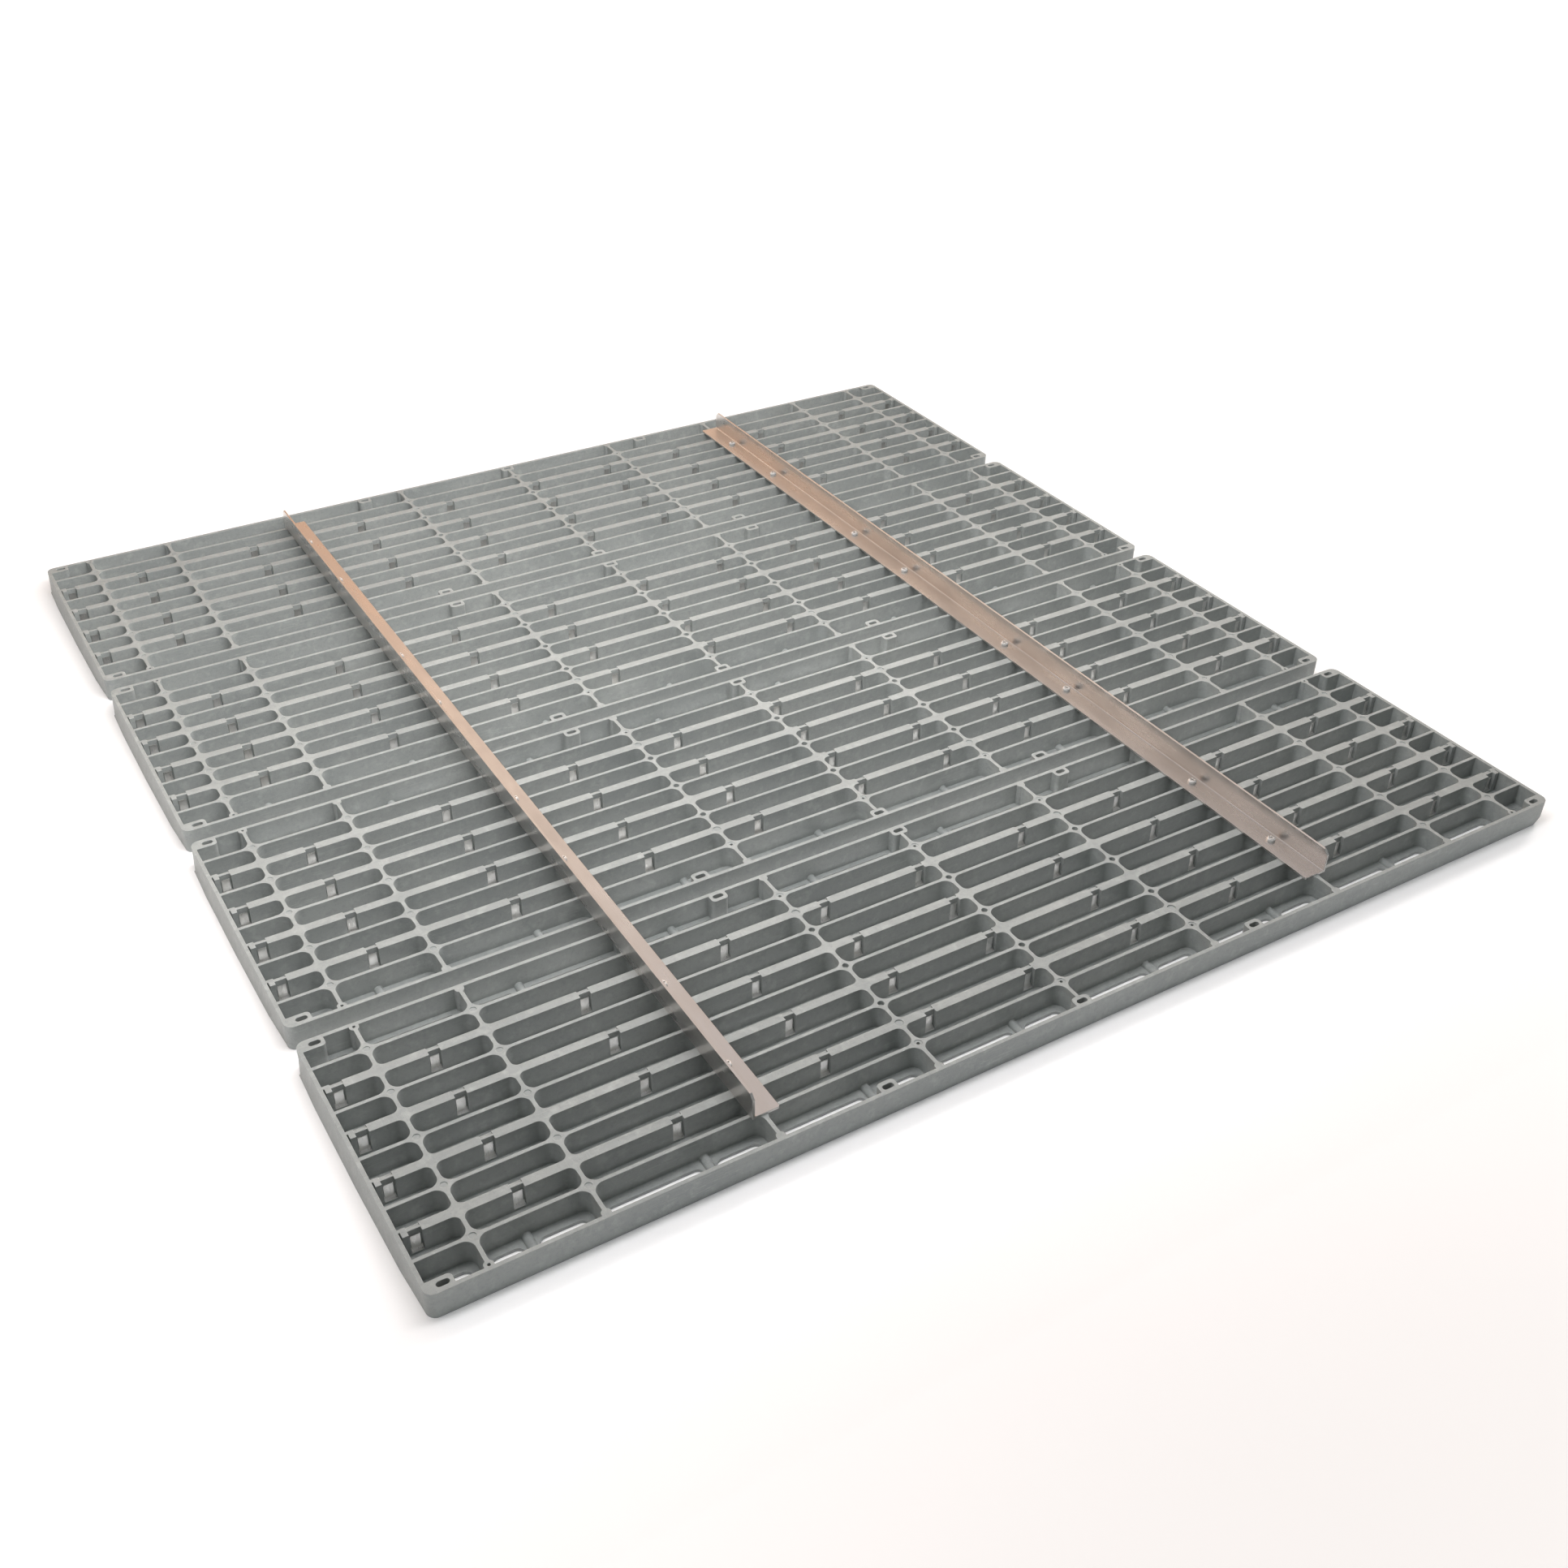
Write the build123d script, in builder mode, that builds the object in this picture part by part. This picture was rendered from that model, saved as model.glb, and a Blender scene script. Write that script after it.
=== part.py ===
from build123d import *
import os

# Four long moulded grid panels, stood side by side and tied together by two
# aluminium angle rails.  Millimetres, +Z up.  X runs along the panels, Y runs
# across them, and the origin is the centre of the footprint on the rest plane.

# ---------------------------------------------------------------- panel sizes
panel_length = 1000.0
panel_width = 245.4
panel_depth = 21.6
panel_pitch = 261.8
panel_count = 4
corner_radius = 7.0
wall = 3.0
floor_thickness = 2.6

cross_rib = 2.9
narrow_rib = 2.7
wide_rib = 7.4
rib_pitch = 23.3
column_pitch = 380.0 / 3
end_column = 41.6
outer_column = 120.0

narrow_corner = 7.5
wide_corner = 5.0

# Floor openings under the cells
ledge_side = 4.6
ledge_end = 5.0
edge_ledge = 6.2
edge_ledge_outer = 4.0
edge_slot_corner = 5.5
ridge_radius = 3.5
ridge_offset = 45.0
ridge_clearance = 5.0
ridge_limit = 400.0

# Slotted screw bosses along the two long walls
slot_length = 8.8
slot_width = 4.3
slot_inset = 5.8
slot_end_inset = 12.8
slot_mid_offset = 168.0
boss_length = 14.0
boss_reach = 11.0
boss_corner = 3.2

# Round marks, pilot holes and blind holes at the crossings
rib_foot_radius = 3.5
rib_foot_inset = 4.2
foot_hole_radius = 1.15
pilot_radius = 1.25
pilot_ring_radius = 3.1
pilot_ring_depth = 0.4
blind_radius = 2.5
blind_depth = 3.5
disc_radius = 3.3
disc_depth = 0.8
ejector_radius = 2.6
ejector_depth = 0.5
deep_hole = 14.0

# End walls swell outward towards their foot, and one foot corner is cut away
swell = 3.0
swell_shoulder = 2.0
swell_top = 19.6
swell_start = 8.0
swell_run = 37.0
swell_full = 120.0
corner_cut_x = 12.0
corner_cut_y = 9.0
corner_cut_z = 10.5

# Spring clip pockets in the wide ribs
pocket_width = 8.7
pocket_floor = 4.4
pocket_depth = 3.2
web_thickness = 1.4
step_depth = 1.2
rib_overrun = 0.5
slit_width = 1.1
slit_reach = 1.0

# ---------------------------------------------------------------- clip sizes
foot_width = 8.3
leaf_width = 6.6
leaf_corner = 0.7
clip_sheet = 0.5
clip_top = 17.3
clip_lip = 0.8
clip_lip_radius = 0.5
clip_heel_radius = 1.9

# ---------------------------------------------------------------- rail sizes
rail_length = 980.0
rail_size = 21.0
rail_thickness = 1.8
rail_inner_radius = 1.2
rail_leg_chamfer = 4.0
rail_flange_corner = 1.5
rail_screw_inset = 9.2
rail_hole_radius = 2.1

# ---------------------------------------------------------------- screw sizes
head_radius = 3.75
head_height = 2.6
head_round = 1.5
shank_radius = 1.75
shank_clearance = 0.05
shank_length = 12.0
tip_length = 2.5
recess_width = 0.9
recess_length = 4.2
recess_depth = 1.5

# ------------------------------------------------------------ derived places
half_length = panel_length / 2
half_width = panel_width / 2
panel_centres = [(n - (panel_count - 1) / 2) * panel_pitch for n in range(panel_count)]

regular_columns = [k * column_pitch for k in range(-2, 3)]
outer_columns = [side * (half_length - d) for side in (-1, 1) for d in (end_column, outer_column)]
column_lines = sorted(regular_columns + outer_columns)

narrow_lines = [k * 2 * rib_pitch for k in range(-2, 3)]
wide_lines = [(k + 0.5) * 2 * rib_pitch for k in range(-2, 2)]
inner_narrow_lines = narrow_lines[1:-1]
edge_narrow_lines = [narrow_lines[0], narrow_lines[-1]]

# Clip places along a wide rib.  The three middle ones sit off centre, and the
# first panel carries them the other way round.
clip_outer_offsets = [487.5, 419.2, 305.0, 190.0]
clip_middle_places = [-89.0, 13.0, 101.5]


def clip_places(panel_index):
    """Distances of the clips along a wide rib of one panel."""
    turned = -1 if panel_index == 0 else 1
    outer = [side * x for side in (-1, 1) for x in clip_outer_offsets]
    return sorted(outer + [turned * x for x in clip_middle_places])


def column_spans():
    """Clear stretches along X between the end walls and the cross ribs."""
    spans = []
    left = -half_length + wall
    for line in column_lines:
        spans.append((left, line - cross_rib / 2))
        left = line + cross_rib / 2
    spans.append((left, half_length - wall))
    return spans


def row_spans():
    """Clear stretches along Y, each with the corner radii of its two sides."""
    edges = [(-half_width + wall, 0.0)]
    for line in sorted(narrow_lines + wide_lines):
        width, radius = (narrow_rib, narrow_corner) if line in narrow_lines else (wide_rib, wide_corner)
        edges.append((line - width / 2, radius))
        edges.append((line + width / 2, radius))
    edges.append((half_width - wall, 0.0))
    return [(*edges[i], *edges[i + 1]) for i in range(0, len(edges), 2)]


def cell_sketch(x0, x1, y0, y1, radii):
    """One cell outline; radii go round from the lower left corner."""
    corners = [(x0, y0), (x1, y0), (x1, y1), (x0, y1)]
    with BuildSketch() as cell:
        with BuildLine():
            Polyline(*corners, close=True)
        make_face()
        for (x, y), radius in zip(corners, radii):
            if radius > 0:
                corner = cell.vertices().sort_by_distance((x, y))[0]
                fillet(corner, radius)
    return cell.sketch


def all_cells():
    """The outlines of every cell of a panel."""
    cells = []
    spans = column_spans()
    for column, (x0, x1) in enumerate(spans):
        left = 0.0 if column == 0 else 1.0
        right = 0.0 if column == len(spans) - 1 else 1.0
        for y0, low_radius, y1, high_radius in row_spans():
            radii = (left * low_radius, right * low_radius, right * high_radius, left * high_radius)
            cells.append(cell_sketch(x0, x1, y0, y1, radii))
    return cells


def ridge_places(side):
    """Ridges along X in the row beside one long wall."""
    first = -half_length + end_column
    return [-side * (line - ridge_offset) for line in column_lines if first < line < ridge_limit]


def slot_places():
    """Centres of the slotted screw bosses along one long wall."""
    ends = half_length - slot_end_inset
    return [-ends, -slot_mid_offset, 0.0, slot_mid_offset, ends]


def floor_slots():
    """Places of the long openings in a panel's floor, grouped by their size."""
    slots = {}
    rows = row_spans()
    for x0, x1 in column_spans():
        for y0, _, y1, _ in rows[1:-1]:
            size = (round(x1 - x0 - 2 * ledge_end, 3), round(y1 - y0 - 2 * ledge_side, 3))
            slots.setdefault(size, []).append(((x0 + x1) / 2, (y0 + y1) / 2))
        for side, (y0, _, y1, _) in ((-1, rows[0]), (1, rows[-1])):
            wall_face, rib_face = (y0, y1) if side < 0 else (y1, y0)
            outer_edge = wall_face - side * edge_ledge_outer
            inner_edge = rib_face + side * edge_ledge
            width = round(abs(inner_edge - outer_edge), 3)
            stops = [x0 + ledge_end]
            for ridge in ridge_places(side):
                if x0 < ridge < x1:
                    stops += [ridge - ridge_clearance, ridge + ridge_clearance]
            stops.append(x1 - ledge_end)
            for start, end in zip(stops[::2], stops[1::2]):
                place = ((start + end) / 2, (inner_edge + outer_edge) / 2)
                slots.setdefault((round(end - start, 3), width), []).append(place)
    return slots


def make_panel(clips):
    """One moulded panel centred on the origin, with clip pockets at the given places."""
    screw_column = 2 * column_pitch
    wall_bosses = [(x, side * (half_width - slot_inset)) for x in slot_places() for side in (-1, 1)]
    corner_block = slot_end_inset + boss_length / 2 - boss_corner

    with BuildPart() as panel:
        # Floor plate with its long openings
        with BuildSketch():
            RectangleRounded(panel_length, panel_width, corner_radius)
            for (length, width), places in floor_slots().items():
                corner = min(edge_slot_corner, 0.49 * width)
                with Locations(*places):
                    RectangleRounded(length, width, corner, mode=Mode.SUBTRACT)
        extrude(amount=floor_thickness)

        # Walls, ribs and bosses
        with BuildSketch(Plane.XY.offset(floor_thickness)):
            RectangleRounded(panel_length, panel_width, corner_radius)
            add(all_cells(), mode=Mode.SUBTRACT)
        extrude(amount=panel_depth - floor_thickness)
        with BuildSketch():
            for side in (-1, 1):
                for x in slot_places():
                    with Locations((x, side * (half_width - boss_reach / 2))):
                        RectangleRounded(boss_length, boss_reach, boss_corner)
                    with Locations((x, side * (half_width - boss_reach / 4))):
                        Rectangle(boss_length, boss_reach / 2)
                for end in (-1, 1):
                    block_x = end * (half_length - corner_block / 2)
                    with Locations((block_x, side * (half_width - boss_reach / 2))):
                        Rectangle(corner_block, boss_reach)
                for x in column_lines:
                    with Locations((x, side * (half_width - rib_foot_inset))):
                        Circle(rib_foot_radius)
            RectangleRounded(panel_length, panel_width, corner_radius, mode=Mode.INTERSECT)
        extrude(amount=panel_depth)

        # Half-round ridges across the floor of the two outer rows
        for side in (-1, 1):
            with BuildSketch(Plane.XZ.offset(-side * (half_width - wall / 2))):
                for x in ridge_places(side):
                    with Locations((x, floor_thickness)):
                        Circle(ridge_radius)
                with Locations((0, floor_thickness - ridge_radius)):
                    Rectangle(panel_length, 2 * ridge_radius, mode=Mode.SUBTRACT)
            row_depth = half_width - wall / 2 - edge_narrow_lines[1]
            extrude(amount=side * row_depth)

        # End walls swell outward towards the foot: gently from the near corner, and with
        # a shoulder at the far one
        near, far = -half_width + swell_start, half_width - swell_start
        for side in (-1, 1):
            inside = side * (half_length - wall / 2)
            outside = side * half_length
            for level, share in ((0.0, 1.0), (swell_top, 0.0)):
                shoulder = outside + side * share * swell_shoulder
                crest = outside + side * share * swell
                with BuildSketch(Plane.XY.offset(level)):
                    with BuildLine():
                        Polyline(
                            (inside, near),
                            (outside, near),
                            (shoulder, near + swell_run),
                            (crest, -half_width + swell_full),
                            (crest, far - swell_run),
                            (shoulder, far),
                            (inside, far),
                            close=True,
                        )
                    make_face()
            loft(ruled=True)

        # Slotted screw holes and the small holes in the rib feet
        with BuildSketch():
            with Locations(*wall_bosses):
                SlotOverall(slot_length, slot_width)
            for x in (-half_length + end_column, half_length - end_column):
                for side in (-1, 1):
                    with Locations((x, side * (half_width - rib_foot_inset))):
                        Circle(foot_hole_radius)
        extrude(amount=panel_depth, mode=Mode.SUBTRACT)

        # Round holes and marks at the crossings, cut from the open side
        top = Plane.XY.offset(panel_depth)
        middle_columns = regular_columns[1:-1]
        with BuildSketch(top):
            with Locations(*[(x, y) for x in middle_columns for y in edge_narrow_lines]):
                Circle(pilot_radius)
            with Locations(*[(side * screw_column, y) for side in (-1, 1) for y in inner_narrow_lines[::2]]):
                Circle(shank_radius + shank_clearance)
        extrude(amount=-deep_hole, mode=Mode.SUBTRACT)
        with BuildSketch(top):
            with Locations(*[(x, y) for x in middle_columns for y in edge_narrow_lines]):
                Circle(pilot_ring_radius)
        extrude(amount=-pilot_ring_depth, mode=Mode.SUBTRACT)
        with BuildSketch(top):
            with Locations(*[(x, y) for x in middle_columns for y in inner_narrow_lines]):
                Circle(blind_radius)
        extrude(amount=-blind_depth, mode=Mode.SUBTRACT)
        with BuildSketch(top):
            with Locations(*[(x, y) for x in middle_columns[::2] for y in wide_lines[::3]]):
                Circle(disc_radius)
        extrude(amount=-disc_depth, mode=Mode.SUBTRACT)
        with BuildSketch(top):
            with Locations(*[(x, y) for x in outer_columns for y in narrow_lines]):
                Circle(ejector_radius)
        extrude(amount=-ejector_depth, mode=Mode.SUBTRACT)

        # Clip pockets open to the front and the top, and a shallow step behind each web
        pocket_reach = pocket_depth + rib_overrun
        pocket_y = -wide_rib / 2 + pocket_depth - pocket_reach / 2
        with BuildSketch(top):
            with Locations(*[(x, y + pocket_y) for x in clips for y in wide_lines]):
                Rectangle(pocket_width, pocket_reach)
        extrude(amount=pocket_floor - panel_depth, mode=Mode.SUBTRACT)
        step_reach = wide_rib - pocket_depth - web_thickness + rib_overrun
        step_y = wide_rib / 2 + rib_overrun - step_reach / 2
        with BuildSketch(top):
            with Locations(*[(x, y + step_y) for x in clips for y in wide_lines]):
                Rectangle(pocket_width, step_reach)
        extrude(amount=-step_depth, mode=Mode.SUBTRACT)

        # A slit parts each wide rib from the end walls over its front half
        slit_x = half_length - wall - slit_width / 2
        slit_length = wide_rib / 2 + slit_reach + rib_overrun
        slit_y = slit_reach - slit_length / 2
        with BuildSketch(top):
            with Locations(*[(side * slit_x, y + slit_y) for side in (-1, 1) for y in wide_lines]):
                Rectangle(slit_width, slit_length)
        extrude(amount=floor_thickness - panel_depth, mode=Mode.SUBTRACT)

        # The foot of the front right corner is cut away
        foot_corner = Vector(half_length, -half_width, 0)
        along_x = foot_corner - Vector(corner_cut_x, 0, 0)
        along_y = foot_corner + Vector(0, corner_cut_y, 0)
        along_z = foot_corner + Vector(0, 0, corner_cut_z)
        normal = (along_y - along_x).cross(along_z - along_x)
        split(bisect_by=Plane(along_x, z_dir=normal * (1 if normal.X < 0 else -1)))

    return panel.part


def make_clip():
    """One spring clip for a pocket of a rib on y = 0: a leaf up the web and a wider foot."""
    front = -wide_rib / 2
    half = clip_sheet / 2
    leaf = front + pocket_depth - half
    sole = pocket_floor + half
    shoulder = sole + clip_heel_radius
    with BuildPart() as clip:
        with BuildSketch(Plane.YZ):
            with BuildLine():
                FilletPolyline(
                    (leaf - clip_lip, clip_top - half),
                    (leaf, clip_top - half),
                    (leaf, shoulder + clip_sheet),
                    radius=clip_lip_radius,
                )
                FilletPolyline(
                    (leaf, shoulder + clip_sheet),
                    (leaf, sole),
                    (front, sole),
                    radius=clip_heel_radius,
                )
            trace(line_width=clip_sheet)
        extrude(amount=foot_width / 2, both=True)

        # The leaf is narrower than the foot above its two shoulders
        side_strip = (foot_width - leaf_width) / 2
        with BuildSketch(Plane.XZ):
            for side in (-1, 1):
                with Locations((side * foot_width / 2, clip_top)):
                    Rectangle(2 * side_strip, 2 * (clip_top - shoulder))
        extrude(amount=wide_rib, both=True, mode=Mode.SUBTRACT)
        toe_corners = clip.edges().filter_by(Axis.Z).group_by(Axis.Y)[0]
        fillet(toe_corners, leaf_corner)
    return clip.part


def make_rail(side):
    """One angle rail: a flange lying on the panels and a leg on its outer edge."""
    outer = side * (2 * column_pitch + rail_screw_inset)
    direction = -side
    top = panel_depth
    with BuildPart() as rail:
        with BuildSketch(Plane.XZ.offset(-rail_length / 2)) as profile:
            with BuildLine():
                Polyline(
                    (outer, top),
                    (outer + direction * rail_size, top),
                    (outer + direction * rail_size, top + rail_thickness),
                    (outer + direction * rail_thickness, top + rail_thickness),
                    (outer + direction * rail_thickness, top + rail_size),
                    (outer, top + rail_size),
                    close=True,
                )
            make_face()
            root = (outer + direction * rail_thickness, top + rail_thickness)
            fillet(profile.vertices().sort_by_distance(root)[0], rail_inner_radius)
        extrude(amount=rail_length)

        leg_corners = rail.edges().filter_by(Axis.X).group_by(Axis.Z)[-1]
        chamfer(leg_corners, rail_leg_chamfer)
        flange_x = outer + direction * rail_size
        upright = rail.edges().filter_by(Axis.Z)
        fillet(upright.filter_by(lambda e: abs(e.center().X - flange_x) < 0.01), rail_flange_corner)

        with BuildSketch(Plane.XY.offset(top)):
            with Locations(*screw_places(side)):
                Circle(rail_hole_radius)
        extrude(amount=rail_thickness, mode=Mode.SUBTRACT)
    return rail.part


def screw_places(side):
    """Screw centres of one rail: two on every panel."""
    x = side * 2 * column_pitch
    return [(x, centre + y) for centre in panel_centres for y in inner_narrow_lines[::2]]


def make_screw():
    """A pan head tapping screw whose head bears on the plane z = 0."""
    with BuildPart() as screw:
        with BuildSketch():
            Circle(head_radius)
        extrude(amount=head_height)
        fillet(screw.edges().group_by(Axis.Z)[-1], head_round)
        with BuildSketch(Plane.XZ):
            Polygon(
                (0, 0),
                (0, -shank_length),
                (shank_radius, tip_length - shank_length),
                (shank_radius, 0),
                align=None,
            )
        revolve(axis=Axis.Z)
        with BuildSketch(Plane.XY.offset(head_height)):
            Rectangle(recess_length, recess_width)
            Rectangle(recess_width, recess_length)
        extrude(amount=-recess_depth, mode=Mode.SUBTRACT)
    return screw.part


def write(shape, label):
    """Give a finished piece its name and write it."""
    shape.label = label
    export_step(shape, f"parts/{label}.step")


os.makedirs("parts", exist_ok=True)

first_panel = make_panel(clip_places(0))
other_panel = make_panel(clip_places(1))
for n in range(panel_count):
    panel_piece = first_panel if n == 0 else other_panel
    write(Pos(0, panel_centres[n], 0) * panel_piece, f"panel_{n + 1}")

clip_piece = make_clip()
for n in range(panel_count):
    for rib, rib_y in enumerate(wide_lines):
        row = [Pos(x, panel_centres[n] + rib_y, 0) * clip_piece for x in clip_places(n)]
        write(Compound(children=row), f"clips_panel_{n + 1}_rib_{rib + 1}")

screw_piece = make_screw()
for side, word in ((-1, "left"), (1, "right")):
    write(make_rail(side), f"rail_{word}")
    seat = panel_depth + rail_thickness
    row = [Pos(x, y, seat) * screw_piece for x, y in screw_places(side)]
    write(Compound(children=row), f"rail_screws_{word}")
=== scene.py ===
import math

import bpy
from mathutils import Matrix, Vector

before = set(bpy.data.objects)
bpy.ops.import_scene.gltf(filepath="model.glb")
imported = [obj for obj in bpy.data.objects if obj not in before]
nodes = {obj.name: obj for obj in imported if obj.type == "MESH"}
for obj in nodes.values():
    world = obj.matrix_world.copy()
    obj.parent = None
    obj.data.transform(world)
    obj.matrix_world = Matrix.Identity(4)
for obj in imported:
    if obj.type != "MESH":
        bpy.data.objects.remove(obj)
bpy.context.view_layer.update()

MM = 0.001

# ------------------------------------------------------------------ camera
CAMERA_PLACE = Vector((-661.1, -1161.5, 850.3)) * MM
CAMERA_AIM = Vector((-47.0, -174.1, 21.6)) * MM
CAMERA_ROLL = math.radians(1.17)
CAMERA_LENS = 38.9
SENSOR = 36.0
CLIP_START = 0.01
CLIP_END = 50


def add_camera():
    """The photograph's viewpoint: above the near left corner, looking across the row."""
    data = bpy.data.cameras.new("camera")
    data.lens = CAMERA_LENS
    data.sensor_width = SENSOR
    data.clip_start = CLIP_START
    data.clip_end = CLIP_END
    camera = bpy.data.objects.new("camera", data)
    look = (CAMERA_AIM - CAMERA_PLACE).to_track_quat("-Z", "Y").to_matrix()
    turn = look @ Matrix.Rotation(CAMERA_ROLL, 3, "Z")
    camera.matrix_world = Matrix.Translation(CAMERA_PLACE) @ turn.to_4x4()
    bpy.context.scene.collection.objects.link(camera)
    bpy.context.scene.camera = camera
    return camera


# ------------------------------------------------- backdrop, floor and lamps
# Colours of the backdrop, in linear light
WARM = (0.72, 0.40, 0.24, 1)
GLOW = (1.75, 1.46, 1.18, 1)
HIGH = (0.60, 0.56, 0.56, 1)
FRONT = (0.25, 0.26, 0.26, 1)
HORIZON = (0.95, 0.95, 0.95, 1)
# Where the backdrop changes, along parts of the unit vector that points at it
GLOW_LEAN = 0.3
GLOW_RISE = (0.585, 0.635)
GLOW_FALL = (0.66, 0.74)
BEHIND = (-0.10, 0.20)
RIGHT = (-0.90, -0.60)
HORIZON_FADE = (0.0, 0.08)

# The floor in metres: it glows more and more from the near to the far distance
FLOOR_SIZE = 80
GLOW_NEAR = 0.45
GLOW_FAR = 1.8
FLOOR_GLOW = (0.02, 0.90)

# The key light: its place, what it points at and its sides, in metres
KEY_PLACE = (-0.25, -0.37, 0.82)
KEY_AIM = (-0.15, 0.5, 0)
KEY_SIZE = (1.2, 0.4)

# Materials: how finely rounded edges are sampled, and how fast wear and the painted edge highlight
# fade from an edge
BEVEL_SAMPLES = 6
EDGE_SHARPNESS = 3.0


# --------------------------------------------------------------- materials
class Nodes:
    """A short way to write a node tree: each call makes one node and wires its inputs."""

    def __init__(self, owner):
        owner.use_nodes = True
        self.owner = owner
        self.tree = owner.node_tree
        self.tree.nodes.clear()

    def node(self, kind, settings=None, **inputs):
        made = self.tree.nodes.new("ShaderNode" + kind)
        for key, value in (settings or {}).items():
            setattr(made, key, value)
        for key, value in inputs.items():
            self.feed(made.inputs[key.replace("_", " ")], value)
        return made

    def feed(self, socket, value):
        if isinstance(value, bpy.types.NodeSocket):
            self.tree.links.new(value, socket)
        else:
            socket.default_value = value

    def maths(self, operation, a, b=0.0, clamp=False):
        made = self.tree.nodes.new("ShaderNodeMath")
        made.operation = operation
        made.use_clamp = clamp
        self.feed(made.inputs[0], a)
        self.feed(made.inputs[1], b)
        return made.outputs[0]

    def range(self, value, low, high, new_low, new_high, smooth=False):
        kind = "SMOOTHSTEP" if smooth else "LINEAR"
        ends = {"From_Min": low, "From_Max": high, "To_Min": new_low, "To_Max": new_high}
        made = self.node("MapRange", {"interpolation_type": kind}, Value=value, **ends)
        return made.outputs[0]

    def mix(self, factor, a, b):
        made = self.tree.nodes.new("ShaderNodeMix")
        made.data_type = "RGBA"
        self.feed(made.inputs[0], factor)
        self.feed(made.inputs[6], a)
        self.feed(made.inputs[7], b)
        return made.outputs[2]

    def noise(self, where, scale, detail=4.0, roughness=0.5):
        made = self.node("TexNoise", Vector=where, Scale=scale, Detail=detail, Roughness=roughness)
        return made.outputs[0]

    def stretched(self, scale, turn=(0, 0, 0)):
        """Object coordinates in metres, turned and then scaled along each axis."""
        where = self.tree.nodes.new("ShaderNodeTexCoord").outputs["Object"]
        return self.node("Mapping", Vector=where, Scale=scale, Rotation=turn).outputs[0]

    def scratches(self, scale, turn, width):
        """1 on thin broken lines, drawn out along the axis with the smallest scale."""
        lines = self.noise(self.stretched(scale, turn), 1.0, 2.0, 0.5)
        away = self.maths("ABSOLUTE", self.maths("SUBTRACT", lines, 0.5))
        thin = self.range(away, 0.0, width, 1.0, 0.0)
        where = self.noise(self.stretched((11, 11, 11), turn), 1.0, 2.0, 0.5)
        return self.maths("MULTIPLY", thin, self.range(where, 0.5, 0.62, 0.0, 1.0))

    def edge_mask(self, radius):
        """1 on rounded edges, 0 on flat faces: where wear and a painted edge highlight go."""
        bevel = self.node("Bevel", {"samples": BEVEL_SAMPLES}, Radius=radius).outputs[0]
        normal = self.tree.nodes.new("ShaderNodeNewGeometry").outputs["Normal"]
        likeness = self.node("VectorMath", {"operation": "DOT_PRODUCT"})
        self.feed(likeness.inputs[0], bevel)
        self.feed(likeness.inputs[1], normal)
        gap = self.maths("SUBTRACT", 1.0, likeness.outputs["Value"])
        return self.maths("MULTIPLY", gap, EDGE_SHARPNESS, clamp=True)

    def bumped(self, height, strength, distance, round_radius):
        """A bumped normal over edges that look rounded to the given radius."""
        rounded = self.node("Bevel", {"samples": BEVEL_SAMPLES}, Radius=round_radius).outputs[0]
        bump = {"Height": height, "Strength": strength, "Distance": distance, "Normal": rounded}
        return self.node("Bump", **bump).outputs[0]

    def finish(self, **inputs):
        """Ends the tree in one Principled shader and hands back the material."""
        shader = self.node("BsdfPrincipled", **inputs)
        output = self.tree.nodes.new("ShaderNodeOutputMaterial")
        self.tree.links.new(shader.outputs[0], output.inputs[0])
        return self.owner


def material_nodes(name):
    return Nodes(bpy.data.materials.new(name))


def linear(red, green, blue):
    """An sRGB colour in 0 to 255 as the linear colour that a shader takes."""
    parts = [value / 255 for value in (red, green, blue)]
    return (*[p / 12.92 if p < 0.04045 else ((p + 0.055) / 1.055) ** 2.4 for p in parts], 1.0)


def grey_plastic():
    """Moulded grey plastic: satin grain, flow marks, scuffs, and rounded edges made paler by a
    painted highlight that partly stands for wear.
    """
    n = material_nodes("grey_plastic")
    plain = n.stretched((1, 1, 1))
    cloud = n.noise(plain, 9.0, 5.0, 0.55)
    flow = n.noise(n.stretched((8, 63, 28)), 1.0, 4.0, 0.6)
    grain = n.noise(plain, 2600.0, 2.0, 0.6)
    speck = n.noise(plain, 620.0, 3.0, 0.7)
    dust = n.noise(plain, 95.0, 6.0, 0.68)
    mottle = n.noise(plain, 260.0, 4.0, 0.6)
    along = n.scratches((14, 900, 300), (0, 0, 0.05), 0.012)
    across = n.scratches((700, 20, 300), (0, 0, 0.6), 0.010)
    scuffs = n.maths("MAXIMUM", along, across)
    base = n.mix(n.range(cloud, 0.3, 0.7, 0.0, 1.0), linear(139, 144, 143), linear(152, 156, 154))
    base = n.mix(n.range(flow, 0.45, 0.7, 0.0, 0.35), base, linear(163, 167, 165))
    base = n.mix(n.range(speck, 0.60, 0.72, 0.0, 0.45), base, linear(117, 122, 121))
    base = n.mix(n.range(mottle, 0.50, 0.66, 0.0, 0.35), base, linear(129, 134, 133))
    base = n.mix(n.range(dust, 0.52, 0.68, 0.0, 0.40), base, linear(177, 180, 178))
    base = n.mix(n.maths("MULTIPLY", scuffs, 0.4), base, linear(192, 195, 193))
    # Paler rounded edges: a painted edge highlight, partly standing for wear
    base = n.mix(n.maths("MULTIPLY", n.edge_mask(0.9 * MM), 0.45), base, linear(189, 193, 191))
    rough = n.range(n.maths("ADD", cloud, n.maths("MULTIPLY", speck, 0.6)), 0.5, 1.1, 0.38, 0.54)
    rough = n.maths("ADD", rough, n.maths("MULTIPLY", scuffs, 0.15))
    height = n.maths("ADD", n.maths("MULTIPLY", grain, 0.6), n.maths("MULTIPLY", flow, 0.4))
    height = n.maths("SUBTRACT", height, n.maths("MULTIPLY", scuffs, 0.3))
    return n.finish(
        Base_Color=base,
        Roughness=rough,
        Normal=n.bumped(height, 0.32, 0.00025, 0.55 * MM),
    )


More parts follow.
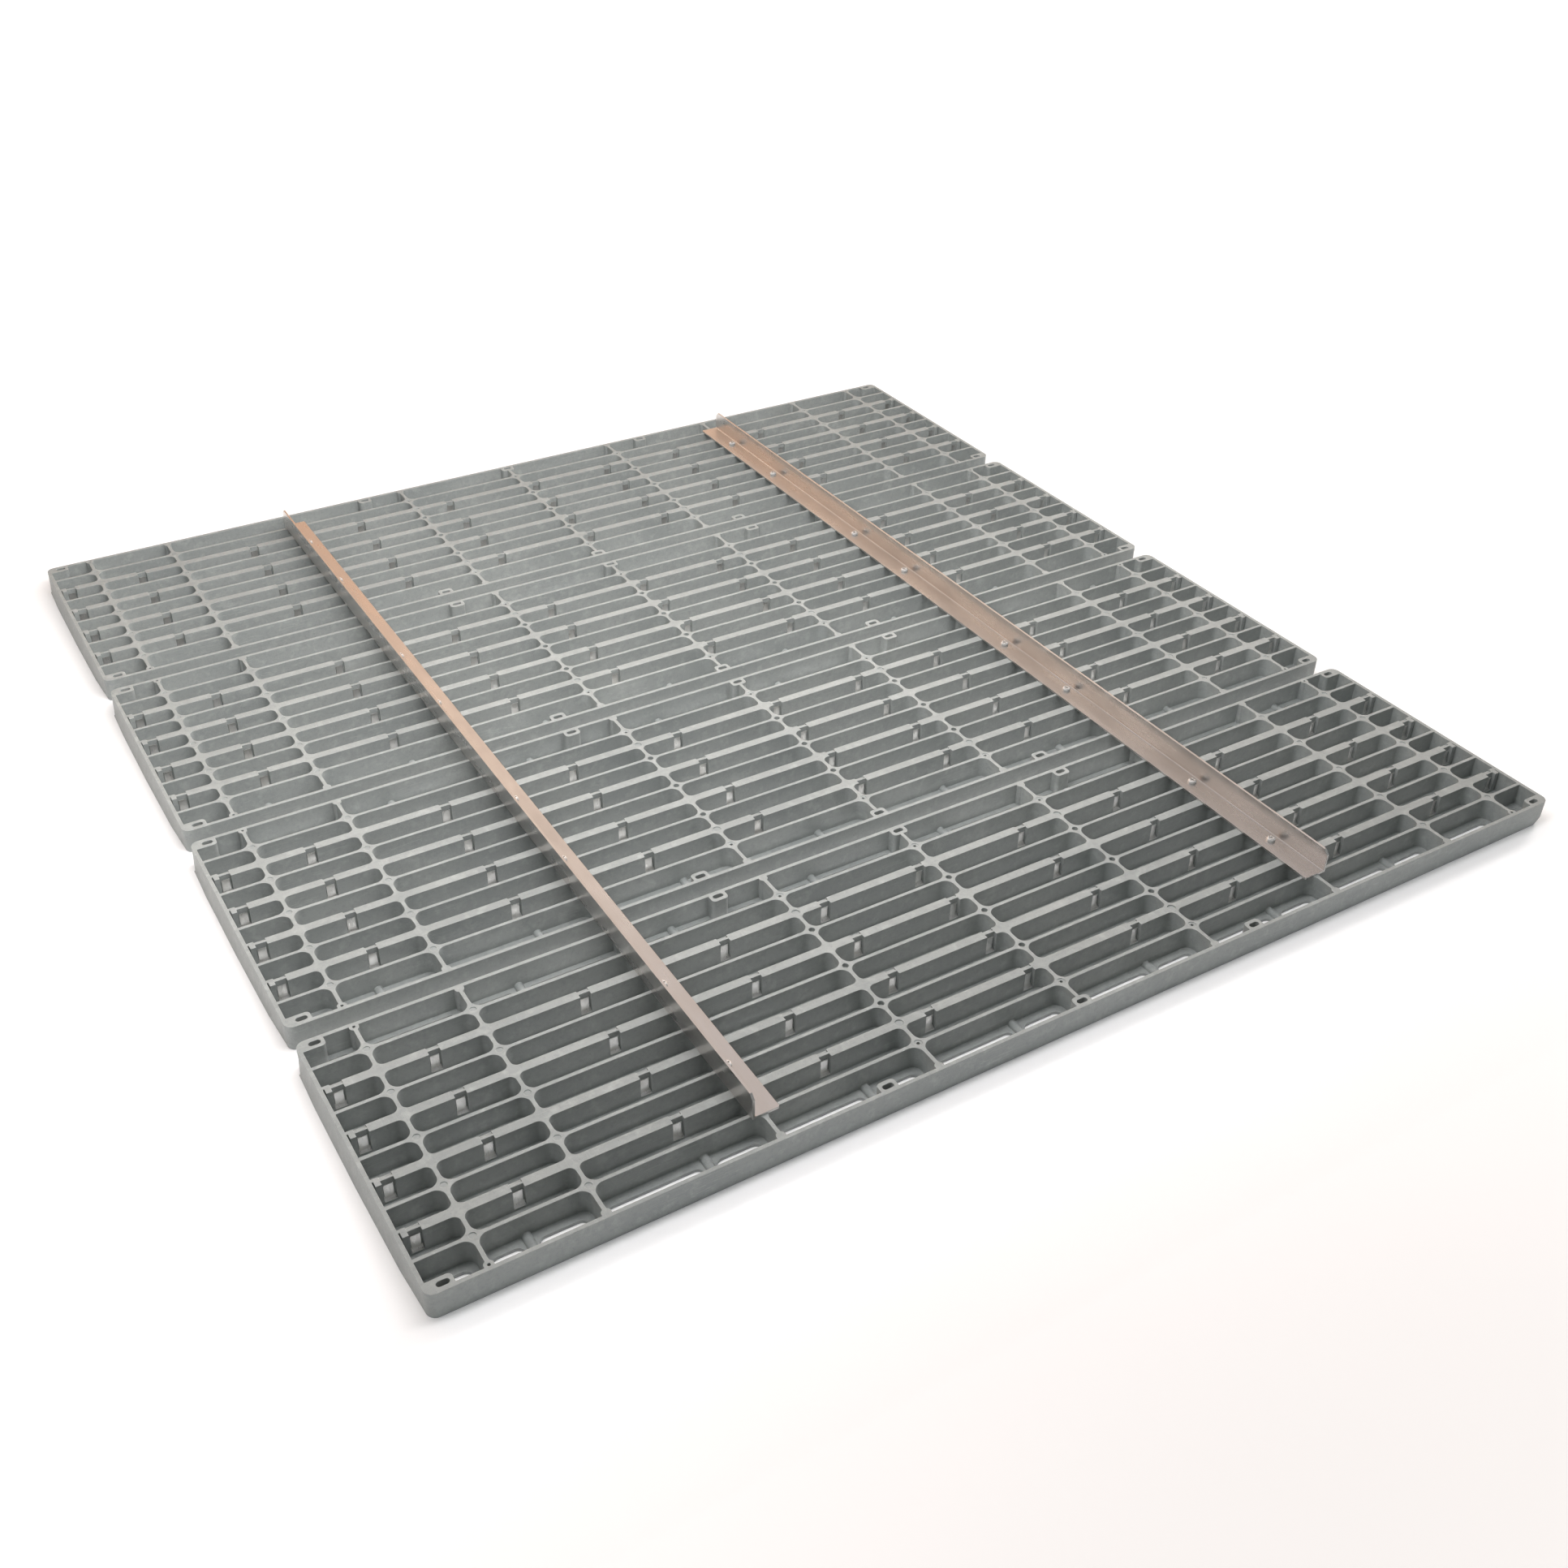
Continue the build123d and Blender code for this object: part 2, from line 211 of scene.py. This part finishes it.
def rail_aluminium():
    """Mill finish extrusion: fine drawn lines along Y, smudges, scratches, and edges brightened by
    a painted highlight.
    """
    n = material_nodes("rail_aluminium")
    lines = n.noise(n.stretched((1400, 5, 1400)), 1.0, 3.0, 0.6)
    bands = n.noise(n.stretched((160, 2.0, 160)), 1.0, 3.0, 0.6)
    smudge = n.noise(n.stretched((34, 13, 34)), 1.0, 5.0, 0.62)
    scratch = n.scratches((900, 24, 900), (0, 0, 0.12), 0.014)
    base = n.mix(n.range(smudge, 0.35, 0.7, 0.0, 1.0), linear(225, 222, 220), linear(214, 211, 208))
    base = n.mix(n.range(lines, 0.4, 0.75, 0.0, 0.12), base, linear(230, 227, 225))
    # Brighter rounded edges: a painted edge highlight
    base = n.mix(n.maths("MULTIPLY", n.edge_mask(0.5 * MM), 0.6), base, linear(236, 234, 232))
    rough = n.range(bands, 0.3, 0.7, 0.24, 0.29)
    rough = n.maths("ADD", rough, n.range(smudge, 0.4, 0.75, 0.0, 0.09))
    rough = n.maths("SUBTRACT", rough, n.maths("MULTIPLY", scratch, 0.03))
    height = n.maths("SUBTRACT", lines, n.maths("MULTIPLY", scratch, 0.25))
    return n.finish(
        Base_Color=base,
        Metallic=1.0,
        Roughness=rough,
        Normal=n.bumped(height, 0.022, 0.0001, 0.35 * MM),
    )


def spring_steel():
    """Bright rolled strip, slightly uneven, with faint rolling lines and stains."""
    n = material_nodes("spring_steel")
    lines = n.noise(n.stretched((2600, 300, 120)), 1.0, 2.0, 0.6)
    stain = n.noise(n.stretched((60, 60, 60)), 1.0, 3.0, 0.6)
    wave = n.noise(n.stretched((190, 190, 150)), 1.0, 1.0, 0.4)
    base = n.mix(n.range(stain, 0.4, 0.7, 0.0, 1.0), linear(232, 232, 230), linear(208, 207, 203))
    height = n.maths("ADD", wave, n.maths("MULTIPLY", lines, 0.05))
    return n.finish(
        Base_Color=base,
        Metallic=0.85,
        Roughness=n.range(lines, 0.3, 0.7, 0.26, 0.40),
        Normal=n.bumped(height, 0.4, 0.0006, 0.2 * MM),
    )


def screw_steel():
    """Zinc plated steel, a little dull and smudged."""
    n = material_nodes("screw_steel")
    cloud = n.noise(n.stretched((420, 420, 420)), 1.0, 3.0, 0.6)
    base = n.mix(n.range(cloud, 0.35, 0.7, 0.0, 1.0), linear(238, 237, 235), linear(206, 203, 198))
    return n.finish(
        Base_Color=base,
        Metallic=0.6,
        Roughness=n.range(cloud, 0.3, 0.7, 0.14, 0.28),
        Normal=n.bumped(cloud, 0.1, 0.0001, 0.3 * MM),
    )


def dress(names, material):
    """Gives CAD nodes one material over their whole surface."""
    for name in names:
        mesh = nodes[name].data
        mesh.materials.clear()
        mesh.materials.append(material)


# ------------------------------------------------------------------- stage
def add_floor():
    """A plain pale floor that stays white away from the lamps."""
    bpy.ops.mesh.primitive_plane_add(size=FLOOR_SIZE, location=(0, 0, 0))
    floor = bpy.context.object
    floor.name = "floor"
    n = material_nodes("floor")
    tone = n.noise(n.stretched((1, 1, 1)), 3.0, 3.0, 0.5)
    base = n.mix(tone, linear(246, 246, 246), linear(250, 250, 250))
    distance = n.node("VectorMath", {"operation": "LENGTH"}, Vector=n.stretched((1, 1, 1)))
    glow = n.range(distance.outputs["Value"], GLOW_NEAR, GLOW_FAR, *FLOOR_GLOW, smooth=True)
    white = linear(255, 255, 255)
    floor.data.materials.append(
        n.finish(Base_Color=base, Roughness=0.7, Emission_Color=white, Emission_Strength=glow)
    )


def add_area(name, place, aim, size, power, colour=(1, 1, 1), glossy=False):
    """A softbox of a power in watts; one that isn't glossy leaves no hard patch in bright metal."""
    data = bpy.data.lights.new(name, "AREA")
    data.shape = "RECTANGLE"
    data.size, data.size_y = size
    data.energy = power
    data.color = colour
    lamp = bpy.data.objects.new(name, data)
    place, aim = Vector(place), Vector(aim)
    turn = (aim - place).to_track_quat("-Z", "Y").to_matrix()
    lamp.matrix_world = Matrix.Translation(place) @ turn.to_4x4()
    lamp.visible_glossy = glossy
    lamp.visible_camera = False
    bpy.context.scene.collection.objects.link(lamp)


def add_backdrop():
    """A studio backdrop: warm and low behind the object, a pale band, then grey; dim in front.

    It is pale all round the floor's edge.
    """
    world = bpy.data.worlds.new("studio")
    n = Nodes(world)
    heading = n.node("SeparateXYZ", Vector=n.node("TexCoord").outputs["Generated"]).outputs
    sideways = n.maths("ABSOLUTE", heading["X"])
    height = n.maths("ADD", heading["Z"], n.maths("MULTIPLY", sideways, GLOW_LEAN))
    behind = n.range(heading["Y"], *BEHIND, 0.0, 1.0, smooth=True)
    right = n.range(heading["X"], *RIGHT, 0.0, 1.0, smooth=True)
    low = n.mix(n.range(height, *GLOW_RISE, 0.0, 1.0, smooth=True), WARM, GLOW)
    back = n.mix(n.range(height, *GLOW_FALL, 0.0, 1.0, smooth=True), low, HIGH)
    colour = n.mix(n.maths("MULTIPLY", behind, right), FRONT, back)
    raised = n.range(heading["Z"], *HORIZON_FADE, 0.0, 1.0, smooth=True)
    colour = n.mix(raised, HORIZON, colour)
    shine = n.node("Background", Color=colour, Strength=1.0)
    output = n.node("OutputWorld")
    n.tree.links.new(shine.outputs[0], output.inputs[0])
    bpy.context.scene.world = world


def add_lights():
    """The key is two lamps in one place, so that bright metal shows only a soft patch of it."""
    add_area("key", KEY_PLACE, KEY_AIM, KEY_SIZE, 9.4, (0.98, 0.96, 0.97))
    add_area("key_shine", KEY_PLACE, KEY_AIM, KEY_SIZE, 2.2, glossy=True)
    add_area("side", (2.2, 0.2, 1.0), (0.0, 0.1, 0), (0.4, 0.4), 28.0, (1.0, 0.97, 0.95))
    add_area("far_key", (-0.1, -0.05, 0.6), (-0.1, 0.5, 0), (1.0, 0.25), 4.2, (1.0, 0.96, 0.93))
    add_area("back_top", (0.1, 0.7, 1.1), (0.1, 0.7, 0), (1.4, 0.6), 0.8)


add_camera()
add_floor()
add_backdrop()
add_lights()
dress([name for name in nodes if name.startswith("panel_")], grey_plastic())
dress([name for name in nodes if name.startswith("clips_")], spring_steel())
dress(["rail_left", "rail_right"], rail_aluminium())
dress(["rail_screws_left", "rail_screws_right"], screw_steel())

bpy.context.scene.view_settings.view_transform = "Standard"
